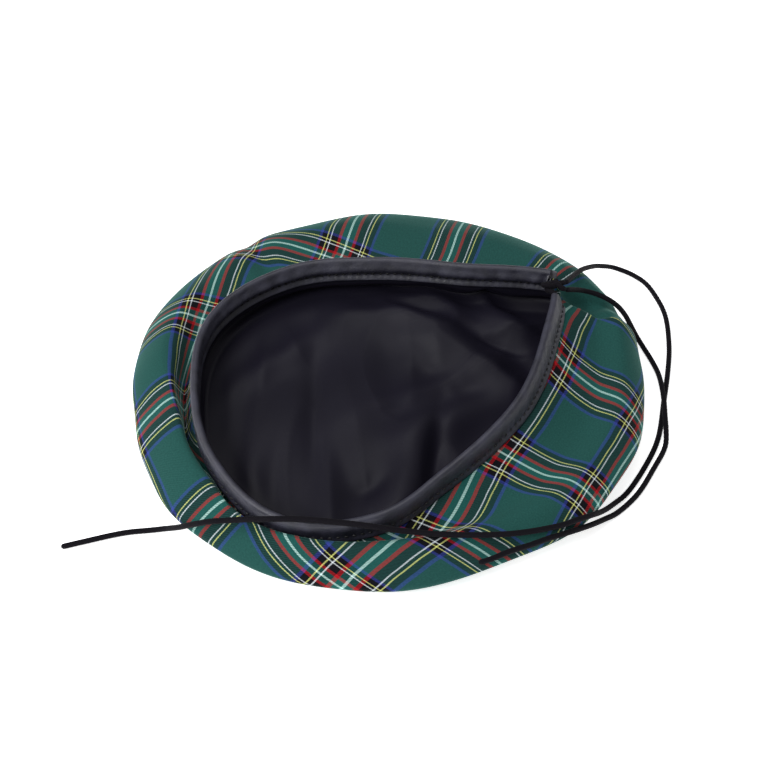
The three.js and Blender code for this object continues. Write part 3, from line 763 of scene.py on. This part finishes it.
# Polyester satin: long floats give a smooth, soft gloss along one way of the weave, black with a
# faint violet cast. Its threads are far too fine to show, so only a slight grain is drawn.
satin, tree = new_material("black_polyester_satin")
flat_place = add(tree, "ShaderNodeUVMap", uv_map="flat")
grain_place = add(tree, "ShaderNodeMapping", {"Vector": flat_place, "Scale": (0.25, 2.2, 1.0)})
grain = add(tree, "ShaderNodeTexNoise", {"Vector": grain_place, "Scale": 1.0, "Detail": 2.0})
cast = add(tree, "ShaderNodeTexNoise", {"Vector": flat_place, "Scale": 0.02, "Detail": 1.0})
satin_colour = add(tree, "ShaderNodeValToRGB", {0: cast}, stops=[(0, "#100f17"), (1, "#1d1b26")])
satin_bump = add(tree, "ShaderNodeBump", {"Height": grain, "Strength": 0.12, "Distance": 0.0002})
polyester = add(tree, "ShaderNodeBsdfPrincipled", {
    "Base Color": satin_colour, "Roughness": 0.46, "Normal": satin_bump,
    "Specular IOR Level": 0.14, "Sheen Weight": 0.02, "Sheen Roughness": 0.35,
    "Sheen Tint": colour("#8e86b8"), "Anisotropic": 0.3,
})
add(tree, "ShaderNodeOutputMaterial", {"Surface": polyester})
lining = make_piece("satin_lining", points, faces, corner_points[:, :2], [satin])
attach(lining, "root")
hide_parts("lining")


# Binding
# A tape of soft black leathercloth, folded over the gathered cloth and the drawstring and sewn
# through near its lower edges. It is cut at the back notch, so that its two ends stand open.
cut_short = 0.06
binding_columns = 700
# The column whose section measures the tape's flat width.
measured_column = 300
# How far below the fold the lines along the leather's faces and along its back lie, in mm, and
# the round of the fold between them.
OUTER_DEPTHS = [13.0, 12.6, 12.0, 11.3, 10.6, 9.9, 9.3, 8.6, 7.6, 6.4, 5.2, 4.0, 3.0, 2.2]
BACK_DEPTHS = [13.0, 9.0, 4.0, 2.0]
fold_depth = 2.0
fold_back_depth = 1.1
fold_bulge = 1.04
stitch_spacing = 3.95
stitch_below = 9.9
# Soft rises of the leather, as height, depth below the fold and half width in mm: over the cord,
# in the rolled part, at the roll's lower edge, and a dent above each stitch.
OVER_CORD = (0.3, 4.4, 2.6)
IN_ROLL = (2.2, 6.0, 2.8)
ROLL_EDGE = (1.2, 13.2, 1.6)
ABOVE_STITCH = (0.10, stitch_below - 2.0, 1.8)
# How deep the seam draws the leather in and how much that varies with the stitches, in mm, and
# how much more it does both in the roll.
seam_depth, seam_swing = 0.5, 0.25
roll_seam_depth, roll_seam_swing = 0.6, 0.1
seam_half_width = 1.2
# How high the wrinkles are everywhere, how much higher in the roll and at the notch, and how far
# from the notch that reaches.
wrinkle_height, roll_wrinkle, notch_wrinkle, notch_reach = 0.10, 0.22, 0.5, 30
thinnest_leather = 0.35
# How fast the cut-back ends run out, and the share by which the near end is cut back.
cut_fade = 9
near_cut_share = 0.4
bare_columns = 14
binding_station = np.linspace(cut_short, section_count - 1 - cut_short, binding_columns)
place = rim_frame(binding_station)
binding_run = run_along(place["top"])
inside = cloth_wall_thickness / 2 + piece_gap
outside = inside + leather_wall
# The cord fills the fold most on the far side, where the tape's upper half is rolled inwards.
binding_roll = 1 - smooth_share(binding_station, 3.6, 5.2)


def rise_at(below, height, middle, half_width):
    """How high a soft rise of the leather stands at a depth below the fold."""
    return height * math.exp(-((below - middle) / half_width) ** 2)


def leather_line(below, side):
    """How far out the leather stands at a depth below the fold: soft, pinched at the stitches."""
    stitch = np.cos(2 * np.pi * binding_run / stitch_spacing)
    roll = binding_roll if side < 0 else 0 * binding_roll
    pinch = seam_depth + seam_swing * stitch + roll * (roll_seam_depth + roll_seam_swing * stitch)
    out = outside + (1 - roll) * rise_at(below, *OVER_CORD)
    out = out + roll * (rise_at(below, *IN_ROLL) + rise_at(below, *ROLL_EDGE))
    out = out - rise_at(below, pinch, stitch_below, seam_half_width)
    out = out - (stitch + 1) * rise_at(below, *ABOVE_STITCH)
    to_notch = np.minimum(binding_run, binding_run[-1] - binding_run)
    wrinkled = wrinkle_height + roll_wrinkle * roll + notch_wrinkle * np.exp(-to_notch / notch_reach)
    wrinkle = soft_noise(binding_run, 0.35 * below, size=4.5, seed=11 if side > 0 else 12) * wrinkled
    loose = math.sin(math.pi * min(below / stitch_below, 1))
    return np.maximum(out + wrinkle * loose, inside + thinnest_leather)


def cut_back(most):
    """The binding's own place with its ends cut back by up to that much, in mm."""
    at_far_end = most * np.exp(-binding_run / cut_fade)
    at_near_end = near_cut_share * most * np.exp(-(binding_run[-1] - binding_run) / cut_fade)
    return rim_frame(np.interp(binding_run + at_far_end - at_near_end, binding_run, binding_station))


# The inner leg and the fold are cut back further than the outer leg, whose pale back shows there.
fold_place, inner_place = cut_back(3.0), cut_back(4.5)
lines = [binding_point(place, leather_line(depth, 1)[:, None], depth) for depth in OUTER_DEPTHS]
for turn in np.linspace(0, np.pi, 11)[1:-1]:
    out = outside * math.cos(turn) * fold_bulge
    lines.append(binding_point(fold_place, out, fold_depth - fold_depth * math.sin(turn)))
lines += [
    binding_point(inner_place, -leather_line(depth, -1)[:, None], depth) for depth in OUTER_DEPTHS[::-1]
]
lines += [binding_point(inner_place, -inside, depth) for depth in BACK_DEPTHS]
lines.append(binding_point(fold_place, 0, fold_back_depth))
lines += [binding_point(place, inside, depth) for depth in BACK_DEPTHS[::-1]]
around = len(lines)
back_from = around - 2 * len(BACK_DEPTHS) - 2
section_points = np.stack(lines, axis=1)
points = section_points.reshape(-1, 3)
tape_run = run_along(section_points[measured_column])
faces, flat = tube_skin(binding_run, [*tape_run, tape_run[-1] + leather_wall])
flat = [(along, across) for across, along in flat]
for row in (0, binding_columns - 1):
    for j in range(around // 2 - 1):
        corners = (j, j + 1, around - 2 - j, around - 1 - j)
        faces.append(tuple(row * around + corner for corner in corners))
        flat += [(binding_run[row], tape_run[corner]) for corner in corners]

# Leathercloth: a soft coated fabric, black going grey where light strikes it, with a fine pebble
# grain of about 0.5 mm that is drawn at 0.9 mm, and a satin gloss that varies a little.
leather, tree = new_material("black_coated_leathercloth")
flat_place = add(tree, "ShaderNodeUVMap", uv_map="flat")
pebble = add(tree, "ShaderNodeTexVoronoi", {"Vector": flat_place, "Scale": 1.1})
mottle = add(tree, "ShaderNodeTexNoise", {"Vector": flat_place, "Scale": 0.12, "Detail": 3.0})
leather_colour = add(tree, "ShaderNodeValToRGB", {0: mottle}, stops=[(0.3, "#1f1f29"), (0.7, "#343442")])
gloss = add(tree, "ShaderNodeMapRange", {
    "Value": mottle, "From Min": 0.3, "From Max": 0.7, "To Min": 0.42, "To Max": 0.56,
})
leather_relief = add(tree, "ShaderNodeMath", {0: mottle, 1: 2.0, 2: pebble}, operation="MULTIPLY_ADD")
leather_bump = add(tree, "ShaderNodeBump", {
    "Height": leather_relief, "Strength": 0.35, "Distance": 0.0002,
})
coating = add(tree, "ShaderNodeBsdfPrincipled", {
    "Base Color": leather_colour, "Roughness": gloss,
    "Normal": leather_bump, "Specular IOR Level": 0.6,
})
add(tree, "ShaderNodeOutputMaterial", {"Surface": coating})

# The fabric back of the leathercloth shows at the cut ends as a pale grey edge.
cut_edge, tree = new_material("raw_grey_edge_of_leathercloth")
flat_place = add(tree, "ShaderNodeUVMap", uv_map="flat")
fray = add(tree, "ShaderNodeTexNoise", {"Vector": flat_place, "Scale": 1.5, "Detail": 4.0})
fray_colour = add(tree, "ShaderNodeValToRGB", {0: fray}, stops=[(0, "#4c4c52"), (1, "#8e8e94")])
backing = add(tree, "ShaderNodeBsdfPrincipled", {"Base Color": fray_colour, "Roughness": 0.9})
add(tree, "ShaderNodeOutputMaterial", {"Surface": backing})
binding = make_piece("leather_binding", points, faces, flat, [leather, cut_edge])
side_faces = (binding_columns - 1) * around
for polygon in binding.data.polygons[side_faces:]:
    polygon.material_index = 1
    polygon.use_smooth = False
for polygon in binding.data.polygons[:side_faces]:
    column, step = divmod(polygon.index, around)
    to_cut = min(column, binding_columns - 2 - column)
    if to_cut < bare_columns and step >= back_from:
        polygon.material_index = 1
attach(binding, "root")
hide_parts("sweatband")


# Stitches of the binding
# One row of lockstitch in black thread goes through both sides of the folded tape, so a row of
# short stitches shows on each face, sunk into the soft leathercloth. The beads are drawn about
# three times thicker than the thread, so their black also paints the shade in the dents that the
# stitches pull into the leathercloth.
stitch_length = 2.0
# Painted shade: about three times the thread's own thickness, so that the dark beads also stand for the
# shaded dents round each stitch.
stitch_thickness_with_dent_shade = 1.2
stitch_stands_out = 0.1
unsewn_columns = 4
thread, tree = new_material("black_sewing_thread_and_dent_shade")
object_place = add(tree, "ShaderNodeTexCoord")
ply = add(tree, "ShaderNodeTexNoise", {"Vector": object_place.outputs["Object"], "Scale": 2500.0})
ply_colour = add(tree, "ShaderNodeValToRGB", {0: ply}, stops=[(0, "#040406"), (1, "#101014")])
polyester_thread = add(tree, "ShaderNodeBsdfPrincipled", {"Base Color": ply_colour, "Roughness": 0.6})
add(tree, "ShaderNodeOutputMaterial", {"Surface": polyester_thread})

stitch_tree = bpy.data.node_groups.new("stitches_along_a_line", "GeometryNodeTree")
sockets = {}
for name, kind, way in [
    ("Line", "NodeSocketGeometry", "INPUT"), ("Spacing", "NodeSocketFloat", "INPUT"),
    ("Length", "NodeSocketFloat", "INPUT"), ("Thickness", "NodeSocketFloat", "INPUT"),
    ("Stitches", "NodeSocketGeometry", "OUTPUT"),
]:
    sockets[name] = stitch_tree.interface.new_socket(name=name, in_out=way, socket_type=kind)
given = stitch_tree.nodes.new("NodeGroupInput")
line_curve = add(stitch_tree, "GeometryNodeMeshToCurve", {0: given.outputs["Line"]})
along = add(stitch_tree, "GeometryNodeCurveToPoints", {
    "Curve": line_curve, "Length": given.outputs["Spacing"],
}, mode="LENGTH")
half_thickness = add(stitch_tree, "ShaderNodeMath", {
    0: given.outputs["Thickness"], 1: 0.5,
}, operation="MULTIPLY")
bead = add(stitch_tree, "GeometryNodeMeshUVSphere", {"Segments": 7, "Rings": 5, "Radius": half_thickness})
stretch = add(stitch_tree, "ShaderNodeMath", {
    0: given.outputs["Length"], 1: given.outputs["Thickness"],
}, operation="DIVIDE")
stretched = add(stitch_tree, "ShaderNodeCombineXYZ", {0: 1.0, 1: 1.0, 2: stretch})
placed = add(stitch_tree, "GeometryNodeInstanceOnPoints", {
    "Points": along.outputs["Points"], "Instance": bead.outputs["Mesh"],
    "Rotation": along.outputs["Rotation"], "Scale": stretched,
})
real = add(stitch_tree, "GeometryNodeRealizeInstances", {0: placed})
dyed = add(stitch_tree, "GeometryNodeSetMaterial", {0: real, "Material": thread})
add(stitch_tree, "NodeGroupOutput", {"Stitches": dyed})

stitch_lines = []
for side in (1, -1):
    out = leather_line(stitch_below, side) + stitch_stands_out
    stitch_line = binding_point(place, side * out[:, None], stitch_below)
    stitch_lines.append(stitch_line[unsewn_columns:-unsewn_columns])
guide_mesh = bpy.data.meshes.new("stitch_lines")
guide_points = np.concatenate(stitch_lines) * 0.001
on_one_side = len(stitch_lines[0])
edges = [(i, i + 1) for i in range(2 * on_one_side - 1) if i != on_one_side - 1]
guide_mesh.from_pydata(guide_points.tolist(), edges, [])
guide = bpy.data.objects.new("stitch_lines", guide_mesh)
scene.collection.objects.link(guide)
sewing = guide.modifiers.new("sewing", "NODES")
sewing.node_group = stitch_tree
for name, value in [
    ("Spacing", stitch_spacing), ("Length", stitch_length), ("Thickness", stitch_thickness_with_dent_shade),
]:
    sewing[sockets[name].identifier] = value * 0.001
bpy.context.view_layer.update()
evaluated = guide.evaluated_get(bpy.context.evaluated_depsgraph_get())
stitch_mesh = bpy.data.meshes.new_from_object(evaluated)
stitch_mesh.name = "binding_stitches"
bpy.data.objects.remove(guide)
stitches = bpy.data.objects.new("binding_stitches", stitch_mesh)
scene.collection.objects.link(stitches)
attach(stitches, "root")


# Hidden part of the drawstring
# The same braided cord goes right round inside the fold of the binding, a little flattened, and
# shows only at the two cut ends.
hidden_columns = 500
hidden_sides = 10
# How far the cord ends inside the cut ends, as shares of a section, and below the fold, in mm.
far_end_in, near_end_in = 0.16, 0.10
below_fold = 0.9
hidden_swell = 0.04
hidden_place = rim_frame(np.linspace(far_end_in, section_count - 1 - near_end_in, hidden_columns))
hidden_top = leather_wall + piece_gap + below_fold
hidden_bottom = binding_width - cloth_in_binding - piece_gap
hidden_run = run_along(hidden_place["top"])
hidden_points = []
for j in range(hidden_sides):
    turn = 2 * math.pi * j / hidden_sides
    lay = 2 * np.pi * hidden_run / braid_repeat
    swell = 1 - hidden_swell * (1 + np.sin(lay + 2 * turn))
    out = cloth_wall_thickness / 2 * math.cos(turn) * swell
    below = (hidden_top + hidden_bottom) / 2 + (hidden_bottom - hidden_top) / 2 * math.sin(turn) * swell
    hidden_points.append(binding_point(hidden_place, out[:, None], below[:, None]))
points = np.stack(hidden_points, axis=1).reshape(-1, 3)
hidden = make_piece("cord_in_binding", points, *cord_skin(hidden_run, hidden_sides), [braid])
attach(hidden, "root")
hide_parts("drawstring_hidden")


# Floor and light
# A plain white floor and white surroundings with large soft lights above, at the side and in
# front, as in a light tent. Sizes are in metres here. The floor lies just below the crown.
floor_half = 4
floor_height = -0.0003
floor_corners = [
    (x * floor_half, y * floor_half, floor_height) for x, y in [(-1, -1), (1, -1), (1, 1), (-1, 1)]
]
floor_mesh = bpy.data.meshes.new("floor")
floor_mesh.from_pydata(floor_corners, [], [(0, 1, 2, 3)])
floor = bpy.data.objects.new("floor", floor_mesh)
scene.collection.objects.link(floor)
paper, tree = new_material("white_paper_floor")
paper_shade = add(tree, "ShaderNodeBsdfPrincipled", {
    "Base Color": colour("#fbfbfb"), "Roughness": 0.9,
    "Emission Color": colour("#ffffff"), "Emission Strength": 0.75,
})
add(tree, "ShaderNodeOutputMaterial", {"Surface": paper_shade})
floor_mesh.materials.append(paper)
scene.view_settings.view_transform = "Standard"
world = bpy.data.worlds.new("tent")
world.use_nodes = True
surroundings = world.node_tree.nodes["Background"].inputs
surroundings["Color"].default_value = colour("#ffffff")
surroundings["Strength"].default_value = 0.28
scene.world = world
# Each light has a power in watts, a width and a place, and looks at the cap.
for name, power, size, (x, y, z) in [
    ("soft_top", 6, 0.9, (-0.1, 0.1, 1.4)),
    ("soft_side", 4, 0.7, (-1.0, 0.1, 0.9)),
    ("soft_front", 12, 0.6, (-0.7, -0.75, 1.05)),
]:
    light_data = bpy.data.lights.new(name, "AREA")
    light_data.energy = power
    light_data.color = (0.98, 0.98, 1.0)
    light_data.size = size
    light = bpy.data.objects.new(name, light_data)
    light.location = (x, y, z)
    light.rotation_euler = (math.atan2(math.hypot(x, y), z), 0, math.atan2(y, x) + math.pi / 2)
    scene.collection.objects.link(light)
